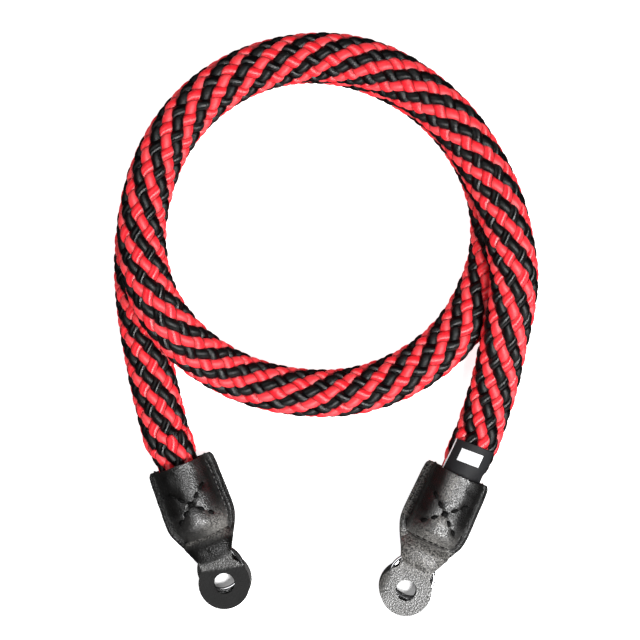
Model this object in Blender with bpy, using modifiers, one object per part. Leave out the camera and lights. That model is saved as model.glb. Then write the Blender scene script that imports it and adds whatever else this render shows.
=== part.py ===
"""Camera neck strap of thick braided rope, lying in a coil of one and two thirds turns.

The strap lies flat on its back: +Z is up, +Y points from the two leather ends to the coil, and
the floor is z = 0. Both leather ends are stitched over the rope and carry a split ring.
"""

import math

import bmesh
import bpy
from mathutils import Matrix, Vector

# Clearance between pieces that touch, and of the rope over the floor
GAP = 0.0003
FLOOR_LIFT = 0.0001

# Braided rope
ROPE_D = 0.0190
ROPE_SIDES_RESOLUTION = 4
ROPE_POINT_STEP = 0.0125
ROPE_IN_POCKET = 0.86
ROPE_IN_DEPTH = 0.0225
COIL_RADIUS = 0.070
COIL_X = 0.0031
COIL_Y = 0.1148

# Leather ends: where each mouth lies and how its axis leans from straight down the page
LEFT_MOUTH = (-0.0553, 0.0277)
LEFT_LEAN = 20.7
RIGHT_MOUTH = (0.0546, 0.0236)
RIGHT_LEAN = -24.6
END_LENGTH = 0.0502
POCKET_WIDTH = 0.0272
FRONT_THICK = 0.0013
FRONT_FILLET = 0.0006
BACK_THICK = 0.0016
DISC_D = 0.0202
HOLE_D = 0.0081
BACK_SHIFT_ACROSS = 0.0009
BACK_SHIFT_ALONG = -0.0009

# Split ring, two flat coils
RING_D = 0.0187
RING_WIRE_WIDE = 0.0020
RING_WIRE_THICK = 0.0010
RING_COIL_GAP = 0.00018
RING_FROM_DISC = 0.0056
RING_JOG_DEG = 26
RING_JOG_AT_DEG = 250
RING_STEPS = 80

# Leather keeper that folds round the wire of the split ring
KEEPER_THICK = 0.0006
KEEPER_WIDE = 0.0060
KEEPER_BACK = 0.0014

# Woven label on the right end
LABEL_THICK = 0.0005
LABEL_LENGTH = 0.0128
LABEL_WIDTH = 0.0150
LABEL_TUCK = 0.0016

# Heights that follow from the sizes above
ROPE_R = ROPE_D / 2
FLOOR_REST = ROPE_R + FLOOR_LIFT
POCKET_ROPE_R = ROPE_R * ROPE_IN_POCKET
POCKET_ROPE_Z = BACK_THICK + GAP + POCKET_ROPE_R
FLANGE_Z = BACK_THICK + GAP
ARCH_R = POCKET_ROPE_R + LABEL_THICK + 4 * GAP
KEEPER_Z = BACK_THICK + GAP
RING_ALONG = END_LENGTH - RING_FROM_DISC
RING_Z = KEEPER_Z + KEEPER_THICK + GAP
RING_HEIGHT = 2 * RING_WIRE_THICK + RING_COIL_GAP
RING_TOP = RING_Z + RING_HEIGHT
KEEPER_TOP = RING_TOP + GAP + KEEPER_THICK
NECK_Z = KEEPER_TOP + GAP
DISC_Z = RING_TOP + GAP

# Route of the rope round the coil: clockwise angle from the foot of the page in degrees,
# share of COIL_RADIUS, and height above the floor rest in rope diameters
ROUTE = (
    (39.0, 1.420, 0.00),
    (44.4, 1.333, 0.00),
    (49.8, 1.265, 0.00),
    (55.5, 1.205, 0.00),
    (62.0, 1.155, 0.00),
    (71.0, 1.107, 0.00),
    (82.0, 1.070, 0.00),
    (95.0, 1.048, 0.00),
    (110.0, 1.047, 0.00),
    (125.0, 1.052, 0.00),
    (140.0, 1.052, 0.00),
    (155.0, 1.042, 0.00),
    (170.0, 1.024, 0.00),
    (185.0, 0.998, 0.00),
    (200.0, 0.972, 0.00),
    (215.0, 0.956, 0.00),
    (230.0, 0.945, 0.00),
    (245.0, 0.940, 0.00),
    (260.0, 0.934, 0.00),
    (275.0, 0.918, 0.00),
    (290.0, 0.892, 0.00),
    (305.0, 0.876, 0.00),
    (320.0, 0.860, 0.00),
    (335.0, 0.849, 0.00),
    (350.0, 0.847, 0.00),
    (365.0, 0.851, 0.00),
    (380.0, 0.872, 0.00),
    (392.0, 0.900, 0.06),
    (402.0, 0.926, 0.25),
    (411.0, 0.951, 0.52),
    (420.0, 0.974, 0.80),
    (430.0, 0.996, 0.98),
    (440.0, 1.008, 1.02),
    (453.0, 1.014, 1.02),
    (467.0, 1.013, 1.02),
    (482.0, 1.019, 1.02),
    (497.0, 1.019, 1.02),
    (512.0, 1.011, 1.02),
    (527.0, 0.998, 1.02),
    (542.0, 0.988, 1.02),
    (557.0, 0.971, 1.02),
    (572.0, 0.946, 1.02),
    (587.0, 0.933, 1.02),
    (602.0, 0.930, 1.02),
    (617.0, 0.952, 1.01),
    (630.0, 0.986, 0.96),
    (641.0, 1.034, 0.86),
    (651.0, 1.073, 0.68),
    (659.0, 1.113, 0.46),
    (666.0, 1.172, 0.22),
    (672.0, 1.236, 0.06),
    (677.5, 1.300, 0.00),
    (682.5, 1.372, 0.00),
)

# Front leather, mouth to neck: shares of END_LENGTH, of half POCKET_WIDTH, of ARCH_R and of
# the height of the arch over its flange, and the lift of the edge towards the disc
FRONT_ROWS = (
    (0.000, 0.900, 1.000, 1.000, 0.00),
    (0.030, 0.975, 1.000, 1.000, 0.00),
    (0.090, 0.995, 0.990, 0.990, 0.00),
    (0.200, 1.000, 0.985, 0.985, 0.00),
    (0.320, 1.012, 0.985, 0.985, 0.00),
    (0.420, 1.018, 0.985, 0.985, 0.00),
    (0.475, 1.010, 0.985, 0.975, 0.00),
    (0.510, 0.985, 0.960, 0.860, 0.00),
    (0.545, 0.945, 0.900, 0.590, 0.00),
    (0.575, 0.890, 0.820, 0.300, 0.00),
    (0.602, 0.850, 0.760, 0.075, 0.05),
    (0.630, 0.790, 0.700, 0.165, 0.16),
    (0.660, 0.725, 0.660, 0.235, 0.34),
    (0.695, 0.650, 0.620, 0.180, 0.72),
    (0.735, 0.575, 0.560, 0.125, 0.97),
    (0.775, 0.515, 0.490, 0.065, 1.00),
)
ARCH_POINTS = 8
DISC_STEP_DEG = 5


def clear_scene():
    for thing in list(bpy.data.objects):
        bpy.data.objects.remove(thing, do_unlink=True)


def make_collection(name, hidden):
    group = bpy.data.collections.new(name)
    bpy.context.scene.collection.children.link(group)
    group.hide_render = hidden
    return group


def make_material(name, colour, roughness, metallic):
    material = bpy.data.materials.new(name)
    material.use_nodes = True
    shader = material.node_tree.nodes["Principled BSDF"]
    shader.inputs["Base Color"].default_value = (*colour, 1.0)
    shader.inputs["Roughness"].default_value = roughness
    shader.inputs["Metallic"].default_value = metallic
    material.diffuse_color = (*colour, 1.0)
    return material


def add_object(name, mesh, group, material, place=None):
    thing = bpy.data.objects.new(name, mesh)
    thing.data.materials.append(material)
    group.objects.link(thing)
    if place is not None:
        thing.matrix_world = place
    return thing


def mesh_from(bm, name, smooth):
    bmesh.ops.recalc_face_normals(bm, faces=bm.faces[:])
    mesh = bpy.data.meshes.new(name)
    bm.to_mesh(mesh)
    bm.free()
    for face in mesh.polygons:
        face.use_smooth = smooth
    return mesh


def end_place(mouth, lean_deg):
    """Local +Y runs from the mouth to the disc, local +X across and +Z up."""
    turn = Matrix.Rotation(math.radians(180 + lean_deg), 4, "Z")
    return Matrix.Translation((mouth[0], mouth[1], 0)) @ turn


def smooth_curve(points, step):
    """A centripetal Catmull-Rom curve through the points, read at an even step."""
    knots = [points[0] * 2 - points[1], *points, points[-1] * 2 - points[-2]]
    fine = []
    for i in range(1, len(knots) - 2):
        a, b, c, d = knots[i - 1 : i + 3]
        t1 = (b - a).length ** 0.5
        t2 = t1 + (c - b).length ** 0.5
        t3 = t2 + (d - c).length ** 0.5
        for k in range(20):
            t = t1 + (t2 - t1) * k / 20
            p = a.lerp(b, t / t1)
            q = b.lerp(c, (t - t1) / (t2 - t1))
            r = c.lerp(d, (t - t2) / (t3 - t2))
            s = p.lerp(q, t / t2)
            u = q.lerp(r, (t - t1) / (t3 - t1))
            fine.append(s.lerp(u, (t - t1) / (t2 - t1)))
    fine.append(points[-1].copy())
    along = [0.0]
    for a, b in zip(fine, fine[1:]):
        along.append(along[-1] + (b - a).length)
    count = max(2, round(along[-1] / step))
    even = []
    i = 0
    for k in range(count + 1):
        wanted = along[-1] * k / count
        while i < len(fine) - 2 and along[i + 1] < wanted:
            i += 1
        share = (wanted - along[i]) / (along[i + 1] - along[i])
        even.append(fine[i].lerp(fine[i + 1], share))
    return even


def route_points(left, right):
    """The rope's own points, from the bottom of the left pocket to that of the right one."""

    def in_pocket(place, along, height):
        return place @ Vector((0, along, height))

    near_mouth = (POCKET_ROPE_Z + FLOOR_REST) / 2
    start = [
        in_pocket(left, ROPE_IN_DEPTH, POCKET_ROPE_Z),
        in_pocket(left, ROPE_IN_DEPTH / 2, POCKET_ROPE_Z),
        in_pocket(left, 0, POCKET_ROPE_Z),
        in_pocket(left, -ROPE_R, near_mouth),
    ]
    coil = []
    for angle, share, lift in ROUTE:
        a = math.radians(angle)
        x = COIL_X - COIL_RADIUS * share * math.sin(a)
        y = COIL_Y - COIL_RADIUS * share * math.cos(a)
        coil.append(Vector((x, y, FLOOR_REST + lift * ROPE_D)))
    finish = [
        in_pocket(right, -LABEL_LENGTH, near_mouth),
        in_pocket(right, 0, POCKET_ROPE_Z),
        in_pocket(right, ROPE_IN_DEPTH / 2, POCKET_ROPE_Z),
        in_pocket(right, ROPE_IN_DEPTH, POCKET_ROPE_Z),
    ]
    return start + coil + finish


def rope_share(along, total):
    """The rope is squeezed where it goes into the leather."""
    inside = min(along, total - along) - ROPE_IN_DEPTH
    ease = min(1.0, max(0.0, inside / ROPE_R))
    return ROPE_IN_POCKET + (1 - ROPE_IN_POCKET) * ease


def braided_rope(group, material, left, right):
    line = smooth_curve(route_points(left, right), ROPE_POINT_STEP)
    curve = bpy.data.curves.new("rope_route", "CURVE")
    curve.dimensions = "3D"
    curve.bevel_depth = ROPE_R
    curve.bevel_resolution = ROPE_SIDES_RESOLUTION
    curve.use_fill_caps = True
    spline = curve.splines.new("POLY")
    spline.points.add(len(line) - 1)
    total = sum((b - a).length for a, b in zip(line, line[1:]))
    along = 0.0
    for i, point in enumerate(line):
        if i:
            along += (point - line[i - 1]).length
        spline.points[i].co = (*point, 1)
        spline.points[i].radius = rope_share(along, total)
    carrier = bpy.data.objects.new("rope_curve", curve)
    group.objects.link(carrier)
    mesh = bpy.data.meshes.new_from_object(carrier)
    bpy.data.objects.remove(carrier, do_unlink=True)
    bm = bmesh.new()
    bm.from_mesh(mesh)
    bmesh.ops.remove_doubles(bm, verts=bm.verts[:], dist=0.00001)
    bpy.data.meshes.remove(mesh)
    return add_object("braided_rope", mesh_from(bm, "braided_rope", True), group, material)


def section(width, arch, top, base):
    """Seventeen points across the underside of the front leather, left edge to right edge."""
    fillet = min(FRONT_FILLET, (width - arch) * 0.3)
    round_part = min(arch, top - base)
    spring = top - round_part
    half = [(width, base), ((width + arch + fillet) / 2, base), (arch + fillet, base)]
    half.append((arch, base + (spring - base) * 0.4 + round_part * 0.06))
    points = [(-x, z) for x, z in half]
    for i in range(ARCH_POINTS + 1):
        a = math.pi * (0.04 + 0.92 * i / ARCH_POINTS)
        points.append((-arch * math.cos(a), spring + round_part * math.sin(a)))
    points.extend((x, z) for x, z in reversed(half))
    return points


def front_leather(name, group, material, place):
    """A sheet with its underside true, thickened upwards."""
    bm = bmesh.new()
    arch_high = POCKET_ROPE_Z + ARCH_R - FLANGE_Z
    rows = []
    for along, width, arch, high, lift in FRONT_ROWS:
        base = FLANGE_Z + (DISC_Z - FLANGE_Z) * lift
        top = base + arch_high * high
        points = section(POCKET_WIDTH / 2 * width, ARCH_R * arch, top, base)
        y = END_LENGTH * along
        rows.append([bm.verts.new((x, y, z)) for x, z in points])
    rings = []
    steps = round(360 / DISC_STEP_DEG)
    for radius in (DISC_D / 2, DISC_D * 0.36, HOLE_D / 2):
        ring = []
        for i in range(steps):
            a = math.radians(i * DISC_STEP_DEG)
            x = radius * math.sin(a)
            ring.append(bm.verts.new((x, END_LENGTH - radius * math.cos(a), DISC_Z)))
        rings.append(ring)
    half = len(rows[0]) // 2
    joint = [rings[0][i] for i in range(-half, half + 1)]
    rows.append(joint)
    for one, two in zip(rows, rows[1:]):
        for i in range(len(one) - 1):
            bm.faces.new((one[i], one[i + 1], two[i + 1], two[i]))
    for one, two in zip(rings, rings[1:]):
        for i in range(steps):
            k = (i + 1) % steps
            bm.faces.new((one[i], one[k], two[k], two[i]))
    mesh = mesh_from(bm, name, True)
    if mesh.polygons[0].normal.z < 0:
        mesh.flip_normals()
    thing = add_object(name, mesh, group, material, place)
    wall = thing.modifiers.new("wall", "SOLIDIFY")
    wall.thickness = FRONT_THICK
    wall.offset = 1
    wall.use_even_offset = True
    return thing


def back_leather(name, group, material, place, hand):
    """A flat piece of leather, cut to the same outline with its disc a little aside."""
    curve = bpy.data.curves.new(name, "CURVE")
    curve.dimensions = "2D"
    curve.fill_mode = "BOTH"
    curve.extrude = BACK_THICK / 2
    side = [(POCKET_WIDTH / 2 * row[1], END_LENGTH * row[0]) for row in FRONT_ROWS]
    centre = Vector((hand * BACK_SHIFT_ACROSS, END_LENGTH + BACK_SHIFT_ALONG))
    outline = [(x, y) for x, y in side]
    for i in range(13):
        a = math.radians(40 + 280 * i / 12)
        spot = centre + Vector((math.sin(a), -math.cos(a))) * (DISC_D / 2)
        outline.append((spot.x, spot.y))
    outline.extend((-x, y) for x, y in reversed(side))
    hole = []
    for i in range(24):
        a = math.radians(i * 15)
        hole.append((HOLE_D / 2 * math.sin(a), END_LENGTH + HOLE_D / 2 * math.cos(a)))
    for loop in (outline, hole):
        spline = curve.splines.new("POLY")
        spline.points.add(len(loop) - 1)
        for i, (x, y) in enumerate(loop):
            spline.points[i].co = (x, y, 0, 1)
        spline.use_cyclic_u = True
    carrier = bpy.data.objects.new(name + "_curve", curve)
    group.objects.link(carrier)
    mesh = bpy.data.meshes.new_from_object(carrier)
    bpy.data.objects.remove(carrier, do_unlink=True)
    bm = bmesh.new()
    bm.from_mesh(mesh)
    bmesh.ops.remove_doubles(bm, verts=bm.verts[:], dist=0.00001)
    bmesh.ops.translate(bm, verts=bm.verts[:], vec=(0, 0, BACK_THICK / 2))
    bpy.data.meshes.remove(mesh)
    return add_object(name, mesh_from(bm, name, False), group, material, place)


def split_ring(name, group, material, place):
    """Flat wire wound twice, with its two ends close to each other."""
    bm = bmesh.new()
    outer = RING_D / 2
    inner = outer - RING_WIRE_WIDE
    thick = RING_WIRE_THICK
    edge = thick * 0.2
    profile = (
        (outer, edge),
        (outer, thick - edge),
        (outer - edge, thick),
        (inner + edge, thick),
        (inner, thick - edge),
        (inner, edge),
        (inner + edge, 0),
        (outer - edge, 0),
    )
    first = math.radians(RING_JOG_DEG / 2 + 2)
    last = math.radians(720 - RING_JOG_DEG / 2 - 2)
    start = math.radians(RING_JOG_AT_DEG)
    loops = []
    for i in range(RING_STEPS + 1):
        a = first + (last - first) * i / RING_STEPS
        share = (math.degrees(a) - 360) / RING_JOG_DEG + 0.5
        share = min(1.0, max(0.0, share))
        rise = Vector((0, 0, (thick + RING_COIL_GAP) * share))
        turn = Matrix.Rotation(a + start, 3, "Z")
        loops.append([bm.verts.new(turn @ Vector((x, 0, z)) + rise) for x, z in profile])
    for one, two in zip(loops, loops[1:]):
        for i in range(len(profile)):
            k = (i + 1) % len(profile)
            bm.faces.new((one[i], one[k], two[k], two[i]))
    bm.faces.new(loops[0])
    bm.faces.new(reversed(loops[-1]))
    bmesh.ops.translate(bm, verts=bm.verts[:], vec=(0, RING_ALONG, RING_Z))
    return add_object(name, mesh_from(bm, name, False), group, material, place)


def ring_keeper(name, group, material, place):
    """A strip folded through the ring, seen from the side as a letter U on its back."""
    bm = bmesh.new()
    wire_out = RING_ALONG - RING_D / 2
    ring_inside = RING_D / 2 - RING_WIRE_WIDE
    wire_in = RING_ALONG - math.sqrt(ring_inside**2 - (KEEPER_WIDE / 2) ** 2)
    tail = wire_out - KEEPER_BACK
    inside = wire_in + GAP
    outside = inside + KEEPER_THICK
    low = KEEPER_Z
    high = KEEPER_TOP
    corner = KEEPER_THICK * 0.5
    profile = (
        (tail, low),
        (outside - corner, low),
        (outside, low + corner),
        (outside, high - corner),
        (outside - corner, high),
        (tail, high),
        (tail, high - KEEPER_THICK),
        (inside, high - KEEPER_THICK),
        (inside, low + KEEPER_THICK),
        (tail, low + KEEPER_THICK),
    )
    half = KEEPER_WIDE / 2
    first = [bm.verts.new((-half, y, z)) for y, z in profile]
    face = bm.faces.new(first)
    grown = bmesh.ops.extrude_face_region(bm, geom=[face])
    moved = [item for item in grown["geom"] if isinstance(item, bmesh.types.BMVert)]
    bmesh.ops.translate(bm, verts=moved, vec=(KEEPER_WIDE, 0, 0))
    return add_object(name, mesh_from(bm, name, False), group, material, place)


def rope_label(name, group, material, place):
    """A woven tag bent over the rope, with its lower edge tucked into the pocket."""
    bm = bmesh.new()
    rows = []
    for along in (-LABEL_LENGTH, -LABEL_LENGTH * 0.66, -LABEL_LENGTH * 0.33, 0, LABEL_TUCK):
        ease = min(1.0, max(0.0, -along / ROPE_R))
        rope_r = POCKET_ROPE_R + (ROPE_R - POCKET_ROPE_R) * ease
        centre_z = POCKET_ROPE_Z + (FLOOR_REST - POCKET_ROPE_Z) * min(1.0, -along / LABEL_LENGTH) / 2
        radius = rope_r + 1.2 * GAP
        spread = math.asin(LABEL_WIDTH / 2 / radius)
        row = []
        for i in range(11):
            a = spread * (i / 5 - 1)
            row.append(bm.verts.new((radius * math.sin(a), along, centre_z + radius * math.cos(a))))
        rows.append(row)
    for one, two in zip(rows, rows[1:]):
        for i in range(len(one) - 1):
            bm.faces.new((one[i], one[i + 1], two[i + 1], two[i]))
    mesh = mesh_from(bm, name, True)
    if mesh.polygons[0].normal.z < 0:
        mesh.flip_normals()
    thing = add_object(name, mesh, group, material, place)
    wall = thing.modifiers.new("wall", "SOLIDIFY")
    wall.thickness = LABEL_THICK
    wall.offset = 1
    wall.use_even_offset = True
    return thing


def centre_on_ends(things):
    """Moves the whole strap so that the box round its ends is centred on the origin."""
    bpy.context.view_layer.update()
    corners = []
    for thing in things:
        if thing.name == "braided_rope":
            continue
        corners.extend(thing.matrix_world @ v.co for v in thing.data.vertices)
    xs = [c.x for c in corners]
    ys = [c.y for c in corners]
    move = Matrix.Translation((-(min(xs) + max(xs)) / 2, -(min(ys) + max(ys)) / 2, 0))
    for thing in things:
        thing.matrix_world = move @ thing.matrix_world
    return move.translation


def main():
    clear_scene()
    group = make_collection("camera_strap", False)
    braid = make_material("braided_cord", (0.42, 0.02, 0.03), 0.45, 0.0)
    leather = make_material("black_leather", (0.02, 0.02, 0.02), 0.42, 0.0)
    lining = make_material("black_leather_back", (0.03, 0.028, 0.026), 0.6, 0.0)
    steel = make_material("polished_steel", (0.75, 0.75, 0.76), 0.15, 1.0)
    tape = make_material("woven_tape", (0.02, 0.02, 0.022), 0.75, 0.0)
    left = end_place(LEFT_MOUTH, LEFT_LEAN)
    right = end_place(RIGHT_MOUTH, RIGHT_LEAN)
    things = [braided_rope(group, braid, left, right)]
    for side, place, hand in (("left", left, -1), ("right", right, 1)):
        things.append(front_leather(side + "_front_leather", group, leather, place))
        things.append(back_leather(side + "_back_leather", group, lining, place, hand))
        things.append(split_ring(side + "_split_ring", group, steel, place))
        things.append(ring_keeper(side + "_ring_keeper", group, lining, place))
    things.append(rope_label("woven_label", group, tape, right))
    moved = centre_on_ends(things)
    print("moved by", [round(v, 6) for v in moved])


main()
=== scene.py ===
import math
import random

import bpy
import numpy as np
from mathutils import Matrix, Vector


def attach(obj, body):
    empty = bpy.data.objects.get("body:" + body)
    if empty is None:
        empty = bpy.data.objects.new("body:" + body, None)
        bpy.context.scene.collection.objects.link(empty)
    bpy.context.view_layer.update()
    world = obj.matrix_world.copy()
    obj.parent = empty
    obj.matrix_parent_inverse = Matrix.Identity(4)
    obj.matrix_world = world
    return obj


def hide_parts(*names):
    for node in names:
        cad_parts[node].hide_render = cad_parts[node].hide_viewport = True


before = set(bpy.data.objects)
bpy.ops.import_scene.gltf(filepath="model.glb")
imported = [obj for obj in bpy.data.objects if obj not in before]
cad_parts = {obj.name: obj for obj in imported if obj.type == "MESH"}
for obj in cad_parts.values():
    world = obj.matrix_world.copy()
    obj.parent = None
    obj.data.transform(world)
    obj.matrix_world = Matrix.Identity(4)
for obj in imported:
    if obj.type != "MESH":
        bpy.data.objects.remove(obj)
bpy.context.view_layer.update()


# The view, the floor and the light
# The strap was photographed from straight above on a plain white floor, under large soft lamps.
# The floor glows a little so that it stays white, but not where the two discs lie on it.
VIEW_HEIGHT = 0.800
VIEW_SPOT = (0.0002, 0.0809)
VIEW_LENS = 113.9
FLOOR_SIZE = 6.0
# The middles of the discs, and how the glow climbs from the first reach to the second
DISC_SPOTS = ((-0.03734, -0.02237), (0.03391, -0.02515))
GLOW_REACH = (0.0070, 0.0090)
GLOW = (0.10, 0.85)
# Name, place, aim, size in metres and power in watts
LAMPS = (
    ("key_lamp", (0.36, -0.34, 0.95), (0.02, 0.06, 0), (0.50, 0.24), 19.5),
    ("fill_lamp", (-0.45, 0.45, 1.10), (0, 0.08, 0), (0.6, 0.5), 4.0),
    ("low_lamp", (0.30, -0.80, 0.20), (0, 0.0, 0), (0.9, 0.34), 3.0),
)
ROOM_GLOW = 0.05

camera_data = bpy.data.cameras.new("overhead_camera")
camera_data.lens = VIEW_LENS
camera_data.sensor_width = 36.0
camera_data.clip_start = 0.01
camera_data.clip_end = 20.0
camera = bpy.data.objects.new("overhead_camera", camera_data)
camera.location = (*VIEW_SPOT, VIEW_HEIGHT)
bpy.context.scene.collection.objects.link(camera)
bpy.context.scene.camera = camera
bpy.context.scene.view_settings.view_transform = "Standard"


def new_finish(name):
    """A material and its shader."""
    finish = bpy.data.materials.new(name)
    finish.use_nodes = True
    return finish, finish.node_tree.nodes["Principled BSDF"]


def set_sockets(finish, node, sockets):
    """Each socket of the node gets a value, or a link from the socket that is given."""
    for name, value in sockets.items():
        if isinstance(value, bpy.types.NodeSocket):
            finish.node_tree.links.new(value, node.inputs[name])
        else:
            node.inputs[name].default_value = value


def add_node(finish, kind, sockets, out, **settings):
    """A node of the finish. Gives its socket called out, or all of them where out is None."""
    node = finish.node_tree.nodes.new("ShaderNode" + kind)
    for name, value in settings.items():
        setattr(node, name, value)
    set_sockets(finish, node, sockets)
    return node.outputs if out is None else node.outputs[out]


def figure(finish, operation, *values):
    """The result of one sum or comparison."""
    return add_node(finish, "Math", dict(enumerate(values)), "Value", operation=operation)


def ranged(finish, value, start, end, low, high, kind="LINEAR"):
    """The value's run from start to end, turned into a run from low to high."""
    limits = {"From Min": start, "From Max": end, "To Min": low, "To Max": high}
    return add_node(finish, "MapRange", {"Value": value, **limits}, "Result", interpolation_type=kind)


bpy.ops.object.select_all(action="DESELECT")
bpy.ops.mesh.primitive_plane_add(size=FLOOR_SIZE, location=(0, 0, 0))
floor = bpy.context.object
floor.name = "studio_floor"
floor_paint, floor_shader = new_finish("white_floor")
floor_place = add_node(floor_paint, "TexCoord", {}, "Object")
disc_reaches = [
    add_node(floor_paint, "VectorMath", {0: floor_place, 1: (*spot, 0)}, "Value", operation="DISTANCE")
    for spot in DISC_SPOTS
]
nearest_disc = figure(floor_paint, "MINIMUM", *disc_reaches)
set_sockets(floor_paint, floor_shader, {
    "Base Color": (0.93, 0.93, 0.93, 1),
    "Roughness": 0.9,
    "Emission Color": (1, 1, 1, 1),
    "Emission Strength": ranged(floor_paint, nearest_disc, *GLOW_REACH, *GLOW),
})
floor.data.materials.append(floor_paint)
floor.visible_glossy = False

for name, place, aim, size, power in LAMPS:
    lamp = bpy.data.lights.new(name, "AREA")
    lamp.shape = "RECTANGLE"
    lamp.size, lamp.size_y = size
    lamp.energy = power
    carrier = bpy.data.objects.new(name, lamp)
    carrier.location = place
    carrier.rotation_euler = (Vector(aim) - Vector(place)).to_track_quat("-Z", "Y").to_euler()
    bpy.context.scene.collection.objects.link(carrier)
room = bpy.data.worlds.new("soft_room")
room.use_nodes = True
room.node_tree.nodes["Background"].inputs["Color"].default_value = (1, 1, 1, 1)
room.node_tree.nodes["Background"].inputs["Strength"].default_value = ROOM_GLOW
bpy.context.scene.world = room


# The braided rope
# Twenty flat bundles of glossy synthetic fibre, ten wound each way and laid one over one, round
# a soft core. Red and black take turns in both directions, so the colours run in stripes.
ROPE_D = 0.0190
ROPE_R = ROPE_D / 2
ROPE_IN_POCKET = 0.86
ROPE_IN_DEPTH = 0.0225
POCKET_ROPE_Z = 0.01007
FLOOR_REST = 0.0096
COIL_RADIUS = 0.070
COIL_X = 0.0031
COIL_Y = 0.1148
STRAP_MOVE = Vector((0.000212, -0.003108, 0))
# Where each pocket's mouth lies and how far it leans, in degrees
ENDS = {"left": ((-0.0553, 0.0277), 20.7), "right": ((0.0546, 0.0236), -24.6)}
LABEL_LENGTH = 0.0128
# Clockwise angle round the coil, share of COIL_RADIUS, and lift in rope diameters
ROUTE = (
    (39.0, 1.420, 0.00), (44.4, 1.333, 0.00), (49.8, 1.265, 0.00), (55.5, 1.205, 0.00),
    (62.0, 1.155, 0.00), (71.0, 1.107, 0.00), (82.0, 1.070, 0.00), (95.0, 1.048, 0.00),
    (110.0, 1.047, 0.00), (125.0, 1.052, 0.00), (140.0, 1.052, 0.00), (155.0, 1.042, 0.00),
    (170.0, 1.024, 0.00), (185.0, 0.998, 0.00), (200.0, 0.972, 0.00), (215.0, 0.956, 0.00),
    (230.0, 0.945, 0.00), (245.0, 0.940, 0.00), (260.0, 0.934, 0.00), (275.0, 0.918, 0.00),
    (290.0, 0.892, 0.00), (305.0, 0.876, 0.00), (320.0, 0.860, 0.00), (335.0, 0.849, 0.00),
    (350.0, 0.847, 0.00), (365.0, 0.851, 0.00), (380.0, 0.872, 0.00), (392.0, 0.900, 0.06),
    (402.0, 0.926, 0.25), (411.0, 0.951, 0.52), (420.0, 0.974, 0.80), (430.0, 0.996, 0.98),
    (440.0, 1.008, 1.02), (453.0, 1.014, 1.02), (467.0, 1.013, 1.02), (482.0, 1.019, 1.02),
    (497.0, 1.019, 1.02), (512.0, 1.011, 1.02), (527.0, 0.998, 1.02), (542.0, 0.988, 1.02),
    (557.0, 0.971, 1.02), (572.0, 0.946, 1.02), (587.0, 0.933, 1.02), (602.0, 0.930, 1.02),
    (617.0, 0.952, 1.01), (630.0, 0.986, 0.96), (641.0, 1.034, 0.86), (651.0, 1.073, 0.68),
    (659.0, 1.113, 0.46), (666.0, 1.172, 0.22), (672.0, 1.236, 0.06), (677.5, 1.300, 0.00),
    (682.5, 1.372, 0.00),
)
STRANDS_EACH_WAY = 10
BRAID_PITCH = 0.0831
WEAVE_RISE = 0.00108
STRAND_CROWN = 0.00080
STRAND_FILL = 1.02
STRAND_SPREAD = 0.12
STRAND_LAYER = ROPE_R * 0.93
CROWN_POWER = 2.4
WAVE_FLATNESS = 0.4
STEPS_PER_CROSSING = 6
PIECE_STEP = 0.0004
# Place along the rope and how far the lay has drifted there, both in mm
LAY_DRIFT = (
    (0, 0.0), (50, 0.8), (70, 2.0), (90, 4.8), (110, 7.6), (150, 8.2),
    (190, 9.8), (210, 12.6), (250, 15.4), (290, 17.2), (350, 17.4), (390, 19.0),
    (430, 21.2), (470, 19.6), (510, 20.2), (530, 22.4), (570, 24.8), (610, 27.2),
    (650, 30.4), (690, 33.2), (730, 35.2), (775, 38.0), (810, 36.2), (850, 33.2),
)
CROSS_DRIFT = (
    (0, 2.0), (80, 2.5), (110, 5.3), (160, 5.3), (190, 4.0), (240, 3.3),
    (290, 3.0), (330, 4.2), (400, 5.1), (440, 6.0), (530, 5.8), (565, 4.4),
    (620, 3.6), (680, 2.9), (740, 2.9), (790, 4.3),
)


def end_place(mouth, lean_deg):
    """From an end's own plane, x across it and y from its mouth to its disc, to the world."""
    turn = Matrix.Rotation(math.radians(180 + lean_deg), 4, "Z")
    return Matrix.Translation(Vector((mouth[0], mouth[1], 0)) + STRAP_MOVE) @ turn


places = {side: end_place(*end) for side, end in ENDS.items()}


def rope_route():
    """From inside the left pocket, round the coil and into the right one."""
    near_mouth = (POCKET_ROPE_Z + FLOOR_REST) / 2
    start = [(ROPE_IN_DEPTH, POCKET_ROPE_Z), (ROPE_IN_DEPTH / 2, POCKET_ROPE_Z), (0, POCKET_ROPE_Z)]
    points = [places["left"] @ Vector((0, y, z)) for y, z in [*start, (-ROPE_R, near_mouth)]]
    for angle, share, lift in ROUTE:
        a = math.radians(angle)
        x = COIL_X - COIL_RADIUS * share * math.sin(a)
        y = COIL_Y - COIL_RADIUS * share * math.cos(a)
        points.append(Vector((x, y, FLOOR_REST + lift * ROPE_D)) + STRAP_MOVE)
    finish = [(-LABEL_LENGTH, near_mouth), *reversed(start)]
    points.extend(places["right"] @ Vector((0, y, z)) for y, z in finish)
    return points


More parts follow.
